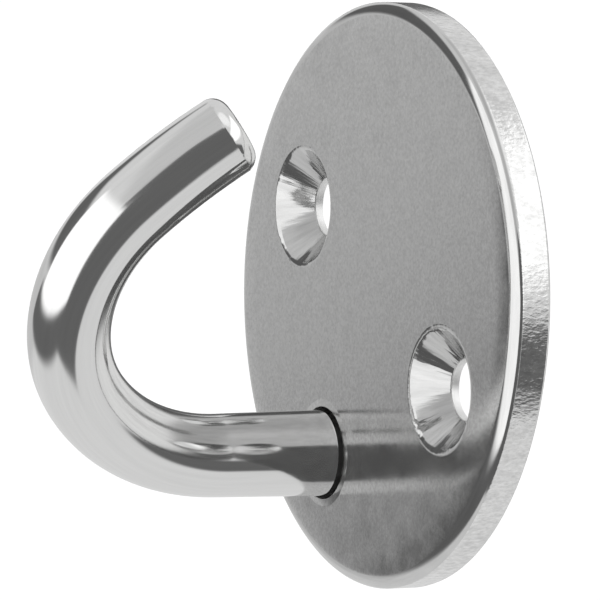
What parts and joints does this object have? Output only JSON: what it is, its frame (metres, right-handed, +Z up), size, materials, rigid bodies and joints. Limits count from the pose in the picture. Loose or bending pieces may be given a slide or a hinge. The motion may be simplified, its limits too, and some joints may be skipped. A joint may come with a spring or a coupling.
{
  "type": "plate hook",
  "caption": "Round steel wall plate with countersunk screw holes and a stout round-bar hook that bends up and back towards the plate.",
  "frame": {"origin": "centre of the plate's back face, which lies against the wall", "axes": "+Z up; +Y into the wall, along the back face's outward normal; +X to the right as seen from the room. The hook stands out towards -Y."},
  "size_m": [0.036, 0.0246, 0.036],
  "materials": {
    "plate_steel": "fine satin with a faint mottled grain, polished at the front edge",
    "bar_steel": "mirror-polished stainless steel",
    "weld_steel": "ground flush"
  },
  "bodies": {
    "root": {"round_plate": "plate_steel", "hook_bar": "bar_steel", "rear_weld": "weld_steel"}
  },
  "joints": []
}
